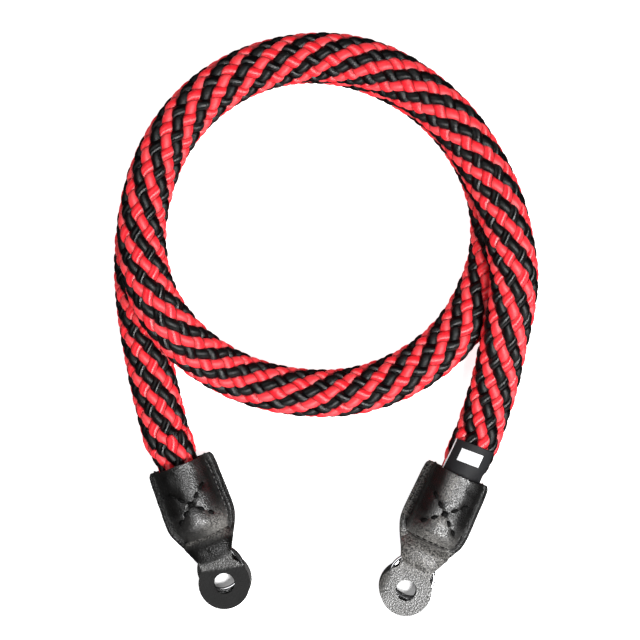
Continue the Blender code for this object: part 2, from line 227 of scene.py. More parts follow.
def smooth_curve(points, step):
    """A centripetal Catmull-Rom curve through the points, read at an even step."""
    knots = [points[0] * 2 - points[1], *points, points[-1] * 2 - points[-2]]
    fine = []
    for i in range(1, len(knots) - 2):
        a, b, c, d = knots[i - 1 : i + 3]
        t1 = (b - a).length ** 0.5
        t2 = t1 + (c - b).length ** 0.5
        t3 = t2 + (d - c).length ** 0.5
        for k in range(20):
            t = t1 + (t2 - t1) * k / 20
            p = a.lerp(b, t / t1)
            q = b.lerp(c, (t - t1) / (t2 - t1))
            r = c.lerp(d, (t - t2) / (t3 - t2))
            s = p.lerp(q, t / t2)
            u = q.lerp(r, (t - t1) / (t3 - t1))
            fine.append(s.lerp(u, (t - t1) / (t2 - t1)))
    fine.append(points[-1].copy())
    fine = np.array(fine)
    along = np.concatenate([[0], np.cumsum(np.linalg.norm(np.diff(fine, axis=0), axis=1))])
    at = np.linspace(0, along[-1], max(3, round(along[-1] / step) + 1))
    return np.stack([np.interp(at, along, fine[:, k]) for k in range(3)], axis=1), at


line, line_at = smooth_curve(rope_route(), PIECE_STEP)
rope_length = float(line_at[-1])
tangent = np.gradient(line, line_at, axis=0)
for _ in range(3):
    tangent[1:-1] = (tangent[:-2] + 2 * tangent[1:-1] + tangent[2:]) / 4
tangent /= np.linalg.norm(tangent, axis=1)[:, None]
upward = np.array([0.0, 0.0, 1.0]) - tangent * tangent[:, 2:3]
upward /= np.linalg.norm(upward, axis=1)[:, None]
sideways = np.cross(tangent, upward)


def on_rope(s, angle, radius):
    """Points at a distance s along the rope, an angle from its top and a radius."""
    s = np.clip(s, 0, rope_length)
    spot = np.stack([np.interp(s, line_at, line[:, k]) for k in range(3)], axis=-1)
    up = np.stack([np.interp(s, line_at, upward[:, k]) for k in range(3)], axis=-1)
    side = np.stack([np.interp(s, line_at, sideways[:, k]) for k in range(3)], axis=-1)
    return spot + (up * np.cos(angle)[..., None] + side * np.sin(angle)[..., None]) * radius[..., None]


def squeeze(s):
    """The rope's share of its full thickness: it is slimmer inside the pockets."""
    inside = np.minimum(s, rope_length - s) - ROPE_IN_DEPTH
    ease = np.clip(inside / ROPE_R, 0, 1)
    ease = ease * ease * (3 - 2 * ease)
    return ROPE_IN_POCKET + (1 - ROPE_IN_POCKET) * ease


def new_piece(name, points, faces):
    """A smooth mesh in the scene, with its points at their places in the world."""
    mesh = bpy.data.meshes.new(name)
    mesh.from_pydata(points, [], faces)
    mesh.polygons.foreach_set("use_smooth", np.full(len(mesh.polygons), True))
    piece = bpy.data.objects.new(name, mesh)
    bpy.context.scene.collection.objects.link(piece)
    return piece


def ring_faces(index):
    """Faces between each ring of points and the next one."""
    after = np.roll(index, -1, axis=1)
    return np.stack([index[:-1], after[:-1], after[1:], index[1:]], axis=-1).reshape(-1, 4)


def lay_uv(mesh, name, pairs):
    """A UV map that gives each point its own pair of values."""
    corner = np.zeros(len(mesh.loops), np.int32)
    mesh.loops.foreach_get("vertex_index", corner)
    mesh.uv_layers.new(name=name).data.foreach_set("uv", pairs[corner].astype(np.float32).ravel())


# The strand's section: shares of its half width, and which of them are on its outer face
LENS_ACROSS = np.array([-1.0, -0.9, -0.62, -0.22, 0.22, 0.62, 0.9, 1.0, 0.35, -0.35])
LENS_TOP = np.array([1, 1, 1, 1, 1, 1, 1, 1, 0, 0])
UNDER_DROP = 0.00045
FIBRE_SHIFT = 37.0


def braid_at(s, way):
    """How far the braid's repeat has come at s: handling has packed it here and drawn it there."""
    drift = np.array(LAY_DRIFT) / 1000
    lay = s + np.interp(s, drift[:, 0], drift[:, 1])
    if way == -1:
        drift = np.array(CROSS_DRIFT) / 1000
        lay = lay + 2 * np.interp(s, drift[:, 0], drift[:, 1])
    return lay


def strand_mesh(way, index):
    """One flat strand. way is 1 for those that run along the stripes and -1 for the rest."""
    slant = math.atan(math.pi * 2 * STRAND_LAYER / BRAID_PITCH)
    spacing = math.pi * 2 * STRAND_LAYER / STRANDS_EACH_WAY * math.cos(slant)
    cell = BRAID_PITCH / (2 * STRANDS_EACH_WAY)
    steps = int(rope_length / cell * STEPS_PER_CROSSING)
    along = np.linspace(0, rope_length, steps + 1)
    repeat = STRANDS_EACH_WAY / BRAID_PITCH
    both_lays = braid_at(along, 1) + braid_at(along, -1)
    spread = 1 + STRAND_SPREAD * way * np.cos(math.pi * repeat * both_lays)
    across = LENS_ACROSS[None, :] * (spacing * STRAND_FILL / 2 * spread)[:, None]
    s = along[:, None] + way * across * math.sin(slant)
    turned = way * (2 * math.pi / BRAID_PITCH) * braid_at(along, way)[:, None]
    angle = 2 * math.pi * index / STRANDS_EACH_WAY - turned + across * math.cos(slant) / STRAND_LAYER
    crossing = STRANDS_EACH_WAY * angle / (2 * math.pi) - way * repeat * braid_at(s, -way)
    wave = way * np.cos(math.pi * (index - crossing))
    wave = wave * (1 + WAVE_FLATNESS - WAVE_FLATNESS * wave * wave)
    crown = STRAND_CROWN * (1 - np.abs(LENS_ACROSS) ** CROWN_POWER)
    edge = np.where(LENS_TOP == 1, crown, -UNDER_DROP)
    middle = ROPE_R - WEAVE_RISE - STRAND_CROWN
    radius = (middle + WEAVE_RISE * wave + edge[None, :]) * squeeze(s)
    points = on_rope(s, angle, radius)
    ring = len(LENS_ACROSS)
    rows = steps + 1
    faces = ring_faces(np.arange(rows * ring).reshape(rows, ring))
    u = (LENS_ACROSS[None, :] + 1) / 2 + np.zeros_like(s)
    v = along[:, None] / spacing + index * FIBRE_SHIFT + np.zeros_like(s)
    high = (wave + 1) / 2 * np.where(LENS_TOP == 1, 1, 0)[None, :]
    return points.reshape(-1, 3), faces, np.stack([u, v, high], axis=-1).reshape(-1, 3), ring, rows


def strand_piece(name, way, indices):
    """The strands of one colour and one way, each with closed ends, as one piece."""
    points, faces, uvs, caps, start = [], [], [], [], 0
    for index in indices:
        p, f, uv, ring, rows = strand_mesh(way, index)
        points.append(p)
        faces.append(f + start)
        uvs.append(uv)
        caps.append(list(range(start + ring - 1, start - 1, -1)))
        caps.append(list(range(start + (rows - 1) * ring, start + rows * ring)))
        start += len(p)
    points, uvs = np.concatenate(points), np.concatenate(uvs)
    piece = new_piece(name, points.tolist(), np.concatenate(faces).tolist() + caps)
    lay_uv(piece.data, "strand_uv", uvs[:, :2])
    lay_uv(piece.data, "height_uv", uvs[:, [2, 0]])
    return piece


# Painted shade on the yarn: its colour darkens to VALLEY_SHADE at each strand's edges and where it dives
# under the strands that cross it
FIBRE_STRETCH = (26.0, 0.9, 1.0)
BRIM_WIDTH = 0.16
DIVE_HEIGHTS = (0.50, 0.86)
VALLEY_SHADE = 0.42


def map_parts(finish, name):
    """The two values of one of the piece's own UV maps."""
    uv = add_node(finish, "UVMap", {}, "UV", uv_map=name)
    return add_node(finish, "SeparateXYZ", {"Vector": uv}, None)


def mixed(finish, share, one, two, kind="MIX"):
    """Two colours in one, with this share of the second."""
    sockets = {"Factor": share, 6: one, 7: two}
    return add_node(finish, "Mix", sockets, 2, data_type="RGBA", blend_type=kind)


def colour_run(finish, share, *stops):
    """A run of colours, each with its place in the run. A third colour lies between the first two."""
    node = finish.node_tree.nodes.new("ShaderNodeValToRGB")
    for i, (place, colour) in enumerate(stops):
        stop = node.color_ramp.elements[i] if i < 2 else node.color_ramp.elements.new(place)
        stop.position, stop.color = place, (*colour, 1)
    finish.node_tree.links.new(share, node.inputs["Fac"])
    return node.outputs["Color"]


def strand_finish(name, bright, deep, shine, roughness, streak):
    """Glossy filament yarn: fine lines along each strand, and painted shade that darkens its edges and where
    it dives under the others.
    """
    finish, shader = new_finish(name)
    uv = add_node(finish, "UVMap", {}, "UV", uv_map="strand_uv")
    stretch = add_node(finish, "Mapping", {"Vector": uv, "Scale": FIBRE_STRETCH}, "Vector")
    noise = {"Vector": stretch, "Scale": 1.0, "Detail": 3.0, "Roughness": 0.6}
    fibres = add_node(finish, "TexNoise", noise, "Fac")
    # Painted shade: darker towards the strand's edges and where it dives under its neighbours
    parts = map_parts(finish, "height_uv")
    side = figure(finish, "PINGPONG", parts["Y"], 0.5)
    brim = ranged(finish, side, 0, BRIM_WIDTH, 0, 1, "SMOOTHSTEP")
    dive = ranged(finish, parts["X"], *DIVE_HEIGHTS, 0, 1, "SMOOTHSTEP")
    shade = ranged(finish, figure(finish, "MULTIPLY", brim, dive), 0, 1, VALLEY_SHADE, 1)
    yarn = colour_run(finish, fibres, (0.25, deep), (0.75, bright))
    bump = {"Strength": 0.45, "Distance": 0.00030, "Height": fibres}
    lie = {"direction_type": "UV_MAP", "uv_map": "strand_uv"}
    set_sockets(finish, shader, {
        "Base Color": mixed(finish, 1.0, yarn, shade, "MULTIPLY"),
        "Normal": add_node(finish, "Bump", bump, "Normal"),
        "Tangent": add_node(finish, "Tangent", {}, "Tangent", **lie),
        "Anisotropic": streak,
        "Roughness": roughness,
        "Specular IOR Level": shine,
    })
    return finish


RED, DEEP_RED = (1.0, 0.026, 0.040), (0.78, 0.006, 0.016)
BLACK, DEEP_BLACK = (0.0015, 0.0015, 0.0018), (0.0004, 0.0004, 0.0005)
# Name, way, first strand, the two colours, then shine, roughness and streak
YARNS = (
    ("red_stripe", 1, 0, RED, DEEP_RED, 0.85, 0.42, 1.0),
    ("black_stripe", 1, 1, BLACK, DEEP_BLACK, 0.38, 0.30, 1.0),
    ("red_cross", -1, 1, RED, DEEP_RED, 0.85, 0.56, 0.65),
    ("black_cross", -1, 0, BLACK, DEEP_BLACK, 0.30, 0.44, 0.75),
)
strands = {}
for name, way, first, *finish in YARNS:
    strands[name] = strand_piece(name + "_strands", way, range(first, STRANDS_EACH_WAY, 2))
    strands[name].data.materials.append(strand_finish(name + "_yarn", *finish))


CORE_RINGS, CORE_SIDES = 420, 20
CORE_OVERLAP = 0.0002


def core_tube():
    """The dark core that fills the rope under the strands, with closed ends."""
    at = np.linspace(0, rope_length, CORE_RINGS)
    angle = np.linspace(0, 2 * math.pi, CORE_SIDES, endpoint=False)
    s, a = np.meshgrid(at, angle, indexing="ij")
    radius = (ROPE_R - 2 * WEAVE_RISE - STRAND_CROWN + CORE_OVERLAP) * squeeze(s)
    points = on_rope(s, a, radius).reshape(-1, 3)
    index = np.arange(CORE_RINGS * CORE_SIDES).reshape(CORE_RINGS, CORE_SIDES)
    ends = [index[0][::-1].tolist(), index[-1].tolist()]
    return new_piece("rope_core", points.tolist(), ring_faces(index).tolist() + ends)


rope_core = core_tube()
core_cloth, core_shader = new_finish("core_cloth")
core_place = add_node(core_cloth, "TexCoord", {}, "Object")
core_grain = add_node(core_cloth, "TexNoise", {"Vector": core_place, "Scale": 900.0}, "Fac")
core_tone = colour_run(core_cloth, core_grain, (0, (0.006, 0.002, 0.002)), (1, (0.03, 0.004, 0.005)))
set_sockets(core_cloth, core_shader, {"Base Color": core_tone, "Roughness": 0.9})
rope_core.data.materials.append(core_cloth)

rope_pieces = [strands[name] for name in ("red_cross", "black_cross", "red_stripe", "black_stripe")]
rope_pieces.append(rope_core)
for piece in rope_pieces:
    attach(piece, "root")
    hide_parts("braided_rope")


# The woven label
# A folded satin tag sewn round the rope at the right mouth, a little askew, black with one plain
# woven oblong. Its folded side shows the white ground threads.
LABEL_WIDTH = 0.0150
LABEL_THICK = 0.0005
LABEL_LIFT = 0.0002
LABEL_ROUNDING = 0.00012
LABEL_TUCK = 0.0016
LABEL_STEPS = (44, 40)
LABEL_ASKEW = 0.07
# The oblong and the fold, in mm across and along the label
OBLONG_ACROSS = 4.2
OBLONG_ALONG = (-10.2, -5.4)
FOLD_ACROSS = (7.05, 9.0)


def add_wall(piece, thickness, rounding, sharp_deg):
    """The active sheet gets its wall, and its edges are rounded."""
    wall = piece.modifiers.new("wall", "SOLIDIFY")
    wall.thickness = thickness
    wall.offset = 1
    bpy.ops.object.modifier_apply(modifier="wall")
    edge = piece.modifiers.new("edge", "BEVEL")
    edge.width = rounding
    edge.segments = 2
    edge.limit_method = "ANGLE"
    edge.angle_limit = math.radians(sharp_deg)
    bpy.ops.object.modifier_apply(modifier="edge")
    bpy.ops.object.shade_smooth()


def label_sheet():
    """A grid that is laid on the round of the rope."""
    t, x = np.meshgrid(
        np.linspace(-LABEL_LENGTH, LABEL_TUCK, LABEL_STEPS[0] + 1),
        np.linspace(-LABEL_WIDTH / 2, LABEL_WIDTH / 2, LABEL_STEPS[1] + 1),
        indexing="ij",
    )
    s = rope_length - ROPE_IN_DEPTH + t + LABEL_ASKEW * x
    radius = ROPE_R * squeeze(s) + LABEL_LIFT
    angle = np.arcsin(np.clip(x / radius, -1, 1))
    bpy.ops.object.select_all(action="DESELECT")
    bpy.ops.mesh.primitive_grid_add(x_subdivisions=LABEL_STEPS[1], y_subdivisions=LABEL_STEPS[0], size=2)
    piece = bpy.context.object
    piece.name = "oblong_label"
    points = on_rope(s, angle, radius).reshape(-1, 3)
    piece.data.vertices.foreach_set("co", points.astype(np.float32).ravel())
    lay_uv(piece.data, "label_uv", np.stack([x.ravel() * 1000, t.ravel() * 1000], axis=1))
    if piece.data.polygons[0].normal.z < 0:
        piece.data.flip_normals()
    add_wall(piece, LABEL_THICK, LABEL_ROUNDING, 60)
    return piece


def between(finish, value, low, high):
    """1 where the value lies between the two limits."""
    over = figure(finish, "GREATER_THAN", value, low)
    return figure(finish, "MULTIPLY", over, figure(finish, "LESS_THAN", value, high))


def label_weave():
    """Fine ribs of black thread, with the white thread in the oblong and on the folded side."""
    weave, shader = new_finish("satin_label")
    flat = add_node(weave, "UVMap", {}, "UV", uv_map="label_uv")
    parts = map_parts(weave, "label_uv")
    inner = between(weave, parts["X"], -OBLONG_ACROSS, OBLONG_ACROSS)
    oblong = figure(weave, "MULTIPLY", inner, between(weave, parts["Y"], *OBLONG_ALONG))
    pale = figure(weave, "MAXIMUM", oblong, between(weave, parts["X"], *FOLD_ACROSS))
    ribs = add_node(weave, "TexWave", {"Vector": flat, "Scale": 1.1}, "Fac", bands_direction="Y")
    black = colour_run(weave, ribs, (0, (0.004, 0.004, 0.0045)), (1, (0.014, 0.014, 0.016)))
    relief = {"Strength": 0.4, "Distance": 0.0001, "Height": ribs}
    set_sockets(weave, shader, {
        "Base Color": mixed(weave, pale, black, (0.80, 0.80, 0.82, 1)),
        "Normal": add_node(weave, "Bump", relief, "Normal"),
        "Roughness": 0.6,
        "Specular IOR Level": 0.3,
    })
    return weave


oblong_label = label_sheet()
oblong_label.data.materials.append(label_weave())
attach(oblong_label, "root")
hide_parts("woven_label")


# The front leathers
# Grained black cowhide, wet-formed over the rope's end into a dome and flattened into flanges,
# a neck and a disc. A cross of hand stitches pulls the dome down on the rope.
END_LENGTH = 0.0502
POCKET_WIDTH = 0.0272
FRONT_THICK = 0.0013
FLANGE_Z = 0.0019
DISC_Z = 0.00528
DISC_D = 0.0202
HOLE_D = 0.0081
ARCH_R = 0.00987
ARCH_SNUG = 0.935
ARCH_HIGH = 0.01804
NECK_BRIM = 0.0009
COLUMNS = 64
FLANGE_COLUMNS = 7
SHEET_ROWS = 118
JOINT_HALF_DEG = 40
JOINT_STEPS = 6
DISC_RINGS = (1.0, 0.985, 0.95, 0.88, 0.8, 0.7, 0.6, 0.5, 0.43, HOLE_D / DISC_D)
FLANGE_FILLET = 0.0006
FRONT_ROUNDING = 0.00032
# Share of END_LENGTH, then shares of the half width, of the arch's width and height, and of the
# climb from the flanges to the disc
FRONT_ROWS = np.array((
    (0.000, 0.900, 1.000, 1.000, 0.00), (0.030, 0.975, 1.000, 1.000, 0.00),
    (0.090, 0.995, 0.990, 0.990, 0.00), (0.200, 1.000, 0.985, 0.985, 0.00),
    (0.320, 1.012, 0.985, 0.985, 0.00), (0.420, 1.018, 0.985, 0.985, 0.00),
    (0.475, 1.010, 0.985, 0.975, 0.00), (0.510, 0.985, 0.960, 0.860, 0.00),
    (0.545, 0.945, 0.900, 0.590, 0.00), (0.575, 0.890, 0.820, 0.300, 0.00),
    (0.602, 0.850, 0.760, 0.075, 0.05), (0.630, 0.790, 0.700, 0.165, 0.16),
    (0.660, 0.725, 0.660, 0.235, 0.34), (0.695, 0.650, 0.620, 0.180, 0.72),
    (0.735, 0.575, 0.560, 0.125, 0.97), (0.775, 0.515, 0.490, 0.065, 1.00),
))
CROSS_STITCHES = 5
CROSS_REACH = 0.0070
CROSS_TOP = 0.0095
CROSS_FOOT = 0.0222
SEAM_REACH = 0.0085
SEAM_EASE = 0.0012
# Where the right end's outer flange starts to be painted lighter, standing in for light that the dome keeps
# off it
LIT_BRIM_FROM = 0.0096
NECK_END = 0.0450
FLANGE_STITCH_IN = 0.0029
HIDE_WAVES = 14
HIDE_WAVE_RISE = 0.000030
# The seam's line, the disc's bent edge, where the disc turns matt, where the neck's pale flecks of painted
# light and wear start and their share at its start and end, and the seed of the hide's waves
END_LOOKS = {
    "left": {
        "seam_at": 0.0300, "bent_edge": 0.0, "matt_line": 0.04385,
        "lit_and_worn_from": 0.0400, "lit_and_worn_share": (0.22, 0.22), "seed": 5,
    },
    "right": {
        "seam_at": 0.0282, "bent_edge": 0.0009, "matt_line": 1.0,
        "lit_and_worn_from": 0.0285, "lit_and_worn_share": (0.85, 0.25), "seed": 8,
    },
}


def swell(distance, reach):
    """1 at no distance, easing to nothing past the reach."""
    return np.exp(-((distance / reach) ** 2))


def ramp(value, start, run):
    """0 up to start, and 1 from a run further on."""
    return np.clip((value - start) / run, 0, 1)


def fall(value, end, run):
    """0 from end on, and 1 up to a run before it."""
    return np.clip((end - value) / run, 0, 1)


def row_table(rows):
    """Places along an end and its section there, smoothed from FRONT_ROWS."""
    at = np.linspace(0, FRONT_ROWS[-1, 0], rows)
    table = np.stack([np.interp(at, FRONT_ROWS[:, 0], FRONT_ROWS[:, k]) for k in range(1, 5)], axis=1)
    kernel = np.array([1, 2, 3, 2, 1]) / 9
    for _ in range(2):
        padded = np.concatenate([[2 * table[0] - table[2], 2 * table[0] - table[1]], table])
        padded = np.concatenate([padded, [2 * table[-1] - table[-2], 2 * table[-1] - table[-3]]])
        soft = np.stack([np.convolve(padded[:, k], kernel, "valid") for k in range(4)], axis=1)
        table[4:] = soft[4:]
    neck = ramp(at, 0.600, 0.05)
    full = (POCKET_WIDTH / 2 * table[:, 0] - NECK_BRIM) / (ARCH_R * ARCH_SNUG)
    table[:, 1] += neck * (full - table[:, 1])
    return at * END_LENGTH, table


def fine_section(width, arch, high, lift):
    """Points across one end: flange, dome and flange."""
    base = FLANGE_Z + (DISC_Z - FLANGE_Z) * lift
    top = base + ARCH_HIGH * high
    fillet = min(FLANGE_FILLET, (width - arch) * 0.3)
    round_part = min(arch, top - base)
    spring = top - round_part
    flange = [(width + (arch + fillet - width) * i / FLANGE_COLUMNS, base) for i in range(FLANGE_COLUMNS)]
    flange.append((arch + fillet, base + 0.00005))
    flange.append((arch + fillet * 0.35, base + (spring - base) * 0.16 + round_part * 0.01))
    flange.append((arch, base + (spring - base) * 0.5 + round_part * 0.05))
    turns = COLUMNS - 2 * len(flange)
    points = [(-x, z) for x, z in flange]
    for i in range(turns + 1):
        a = math.pi * (0.035 + 0.93 * i / turns)
        points.append((-arch * math.cos(a), spring + round_part * math.sin(a)))
    points.extend((x, z) for x, z in reversed(flange))
    return points


def segment_distance(x, t, one, two):
    """How far each point lies from the straight line between one and two."""
    run = np.array(two) - np.array(one)
    share = ((x - one[0]) * run[0] + (t - one[1]) * run[1]) / (run @ run)
    share = np.clip(share, 0, 1)
    return np.hypot(x - one[0] - share * run[0], t - one[1] - share * run[1])


def cross_marks():
    """The middles of the five stitches on each arm of the cross."""
    shade_and_matt = []
    for hand in (-1, 1):
        for i in range(CROSS_STITCHES):
            share = (i + 0.5) / CROSS_STITCHES
            shade_and_matt.append((hand * CROSS_REACH * (2 * share - 1), CROSS_TOP + (CROSS_FOOT - CROSS_TOP) * share))
    return shade_and_matt


def leather_relief(x, t, width, seam_at, seed):
    """How far the sheet is pushed in (negative) or out at each point."""
    push = np.zeros_like(x)
    for hand in (-1, 1):
        d = segment_distance(x, t, (-hand * CROSS_REACH, CROSS_TOP), (hand * CROSS_REACH, CROSS_FOOT))
        push -= 0.00030 * swell(d, 0.0007) + 0.00050 * swell(d, 0.0026)
    for u, v in cross_marks():
        push -= 0.00060 * swell(np.hypot(x - u, t - v), 0.0010)
    inside = fall(np.abs(x), SEAM_REACH + SEAM_EASE / 2, SEAM_EASE)
    push -= inside * 0.00050 * swell(t - seam_at, 0.0006)
    push += inside * 0.00042 * swell(t - seam_at - 0.0015, 0.0007)
    push += inside * 0.00030 * swell(t - seam_at + 0.0016, 0.0008)
    channel = width - np.abs(x) - FLANGE_STITCH_IN
    push -= fall(t, seam_at, 0.002) * 0.00022 * swell(channel, 0.0006)
    waves = random.Random(seed)
    for _ in range(HIDE_WAVES):
        turn = waves.uniform(0, math.pi)
        pace = waves.uniform(500, 1400)
        phase = waves.uniform(0, 6.28)
        push += HIDE_WAVE_RISE * np.sin((x * math.cos(turn) + t * math.sin(turn)) * pace + phase)
    return push


def leather_tone(x, t, width, side):
    """Painted shade, with less gloss, by the stitches, seam and flanges, on the dome's sides and in the neck;
    where the hide is matt; and pale flecks of painted light and wear.
    """
    end = END_LOOKS[side]
    seam_at = end["seam_at"]
    shade_and_dulling = np.zeros_like(x)
    # Painted shade, with less gloss, in the stitch holes, along the seam and the flange stitching, and over
    # the flanges
    for u, v in cross_marks():
        shade_and_dulling = np.maximum(shade_and_dulling, 1.25 * swell(np.hypot(x - u, t - v), 0.0011))
    inside = fall(np.abs(x), SEAM_REACH + SEAM_EASE / 2, SEAM_EASE)
    shade_and_dulling = np.maximum(shade_and_dulling, 0.8 * inside * swell(t - seam_at, 0.0006))
    channel = width - np.abs(x) - FLANGE_STITCH_IN
    shade_and_dulling = np.maximum(shade_and_dulling, 0.5 * fall(t, seam_at, 0.002) * swell(channel, 0.0006))
    flange = ramp(np.abs(x) - width, -0.0036, 0.0008) * fall(t, seam_at + 0.004, 0.003)
    shade_and_dulling = np.minimum(np.maximum(shade_and_dulling, 0.80 * flange), 1)
    matt = ramp(t - end["matt_line"] + 0.22 * x, 0, 0.0007)
    ridge = inside * swell(t - seam_at - 0.0017, 0.0007)
    crown = fall(t, 0.0195, 0.002)
    # Painted shade on the dome's sides, which sets where its highlight falls, and in the neck
    if side == "left":
        flanks = np.maximum(0.7 * ramp(x, -0.0045, 0.0045), 0.5 * fall(x, -0.0068, 0.001))
        shade_and_dulling = np.maximum(shade_and_dulling, crown * flanks)
        hollow = ramp(t, 0.0328, 0.001) * (0.85 - 0.40 * ramp(t, 0.0385, 0.0015))
        shade_and_dulling = np.maximum(shade_and_dulling, hollow * (1 - matt))
        # Painted light: pale flecks on the left dome's foot
        patch = swell(x + 0.0065, 0.0056) * swell(t - 0.0274, 0.0050)
    else:
        flanks = np.maximum(0.7 * fall(x, -0.0023, 0.0018), 0.6 * ramp(x, 0.0040, 0.0015))
        shade_and_dulling = np.maximum(shade_and_dulling, crown * flanks)
        # The outer flange gets less painted shade and, with the dome's foot, its crest and the part below the
        # cross, painted light as pale flecks
        shade_and_dulling = np.where(x > LIT_BRIM_FROM, np.minimum(shade_and_dulling, 0.35), shade_and_dulling)
        shade_and_dulling = np.maximum(shade_and_dulling, 0.35 * ramp(t, 0.0305, 0.001) * fall(t, NECK_END, 0.002))
        brim = ramp(x, LIT_BRIM_FROM, 0.0006) * fall(t, 0.0250, 0.002)
        foot = swell(x, 0.0095) * swell(t - 0.0268, 0.0036)
        crest = swell(x - 0.0018, 0.0019) * fall(t, 0.0115, 0.002)
        below = swell(x - 0.0003, 0.0034) * swell(t - 0.0192, 0.0024)
        patch = np.maximum.reduce([0.95 * brim, 0.9 * foot, 0.60 * crest, 0.80 * below])
    patch = patch * (1 - np.minimum(2.2 * np.abs(shade_and_dulling - 0.5), 1) * (shade_and_dulling > 0.5))
    # Pale flecks on the neck, partly painted light and partly wear, going from the first share to the second
    # along it; the ridge under the seam gets them as painted highlight
    pale_fleck_share, least = end["lit_and_worn_share"]
    neck = ramp(t, end["lit_and_worn_from"], 0.0015) * (1 - matt)
    neck = neck * (least + (pale_fleck_share - least) * fall(t, NECK_END, 0.003))
    return shade_and_dulling, matt, np.maximum.reduce([0.8 * ridge, neck, patch])


def disc_ring(turns, radius):
    """Points round the middle of the disc, of which the first lies towards the dome."""
    x, t = np.sin(turns) * radius, END_LENGTH - np.cos(turns) * radius
    return np.stack([x, t, turns * 0 + DISC_Z], axis=1)


def sheet_normals(grid):
    """Which way the sheet's face looks at each of its points."""
    normal = np.cross(np.gradient(grid, axis=1), np.gradient(grid, axis=0))
    return normal / np.linalg.norm(normal, axis=-1)[..., None]


def select_only(piece):
    bpy.ops.object.select_all(action="DESELECT")
    piece.select_set(True)
    bpy.context.view_layer.objects.active = piece


def front_sheet(side):
    """The dome, flanges, neck and disc as one sheet, and the top of it for the stitches."""
    end = END_LOOKS[side]
    rows = []
    for t, (width, arch, high, lift) in zip(*row_table(SHEET_ROWS)):
        profile = fine_section(POCKET_WIDTH / 2 * width, ARCH_R * ARCH_SNUG * arch, high, lift)
        rows.append([(x, t, z) for x, z in profile])
    arc = np.radians(np.linspace(-JOINT_HALF_DEG, JOINT_HALF_DEG, COLUMNS + 1))
    joint = disc_ring(arc, DISC_D / 2)
    last = np.array(rows[-1])
    shares = [k / JOINT_STEPS for k in range(1, JOINT_STEPS)]
    grid = np.array(rows + [last * (1 - share) + joint * share for share in shares])
    for _ in range(3):
        inner = (grid[:-2, 1:-1] + grid[2:, 1:-1] + grid[1:-1, :-2] + grid[1:-1, 2:]) / 4
        grid[1:-1, 1:-1] = (grid[1:-1, 1:-1] + inner) / 2
    width = np.abs(grid[:, -1:, 0]) + np.zeros_like(grid[..., 0])
    push = leather_relief(grid[..., 0], grid[..., 1], width, end["seam_at"], end["seed"])
    fade = fall(np.arange(len(grid)), len(grid) - 1, JOINT_STEPS)[:, None]
    grid = grid + sheet_normals(grid) * (push * fade)[..., None]
    steps = round(360 * COLUMNS / (2 * JOINT_HALF_DEG))
    rings = []
    for share in DISC_RINGS:
        ring = disc_ring(2 * math.pi * np.arange(steps) / steps, DISC_D / 2 * share)
        bend = end["bent_edge"] * ramp(ring[:, 0], 0.0072, 0.0029) ** 2
        ring[:, 2] -= bend * ramp(ring[:, 1], 0.0435, 0.003)
        rings.append(ring)
    points = np.concatenate([grid.reshape(-1, 3), *rings])
    index = np.arange(grid[..., 0].size).reshape(grid.shape[:2])
    ring_index = index.size + np.arange(len(rings) * steps).reshape(len(rings), steps)
    meeting = ring_index[0][np.arange(-(COLUMNS // 2), COLUMNS // 2 + 1)]
    index = np.concatenate([index, meeting[None]])
    sheet = np.stack([index[:-1, :-1], index[:-1, 1:], index[1:, 1:], index[1:, :-1]], axis=-1)
    faces = np.concatenate([sheet.reshape(-1, 4), ring_faces(ring_index)])
    world = [tuple(places[side] @ Vector(point)) for point in points]
    piece = new_piece(side + "_leather_dome", world, faces.tolist())
    brims = [np.full(steps, DISC_D / 2 * (1 - share)) for share in DISC_RINGS]
    brim = np.concatenate([(width - np.abs(grid[..., 0])).ravel(), *brims])
    whole = np.full(len(points), 1.0)
    whole[: width.size] = width.ravel()
    # Painted shade, the matt part, and pale flecks of painted light and wear, for the leather's finish
    shade_and_dulling, matt, lit_and_worn = leather_tone(points[:, 0], points[:, 1], whole, side)
    lay_uv(piece.data, "leather_uv", points[:, :2] * 1000)
    lay_uv(piece.data, "edge_uv", np.stack([brim * 1000, points[:, 1] * 1000], axis=1))
    lay_uv(piece.data, "tone_uv", np.stack([shade_and_dulling, matt], axis=1))
    lay_uv(piece.data, "worn_uv", np.stack([lit_and_worn, lit_and_worn * 0], axis=1))
    if piece.data.polygons[len(faces) - 1].normal.z < 0:
        piece.data.flip_normals()
    select_only(piece)
    add_wall(piece, FRONT_THICK, FRONT_ROUNDING, 55)
    return piece, (grid + sheet_normals(grid) * FRONT_THICK).reshape(-1, 3)


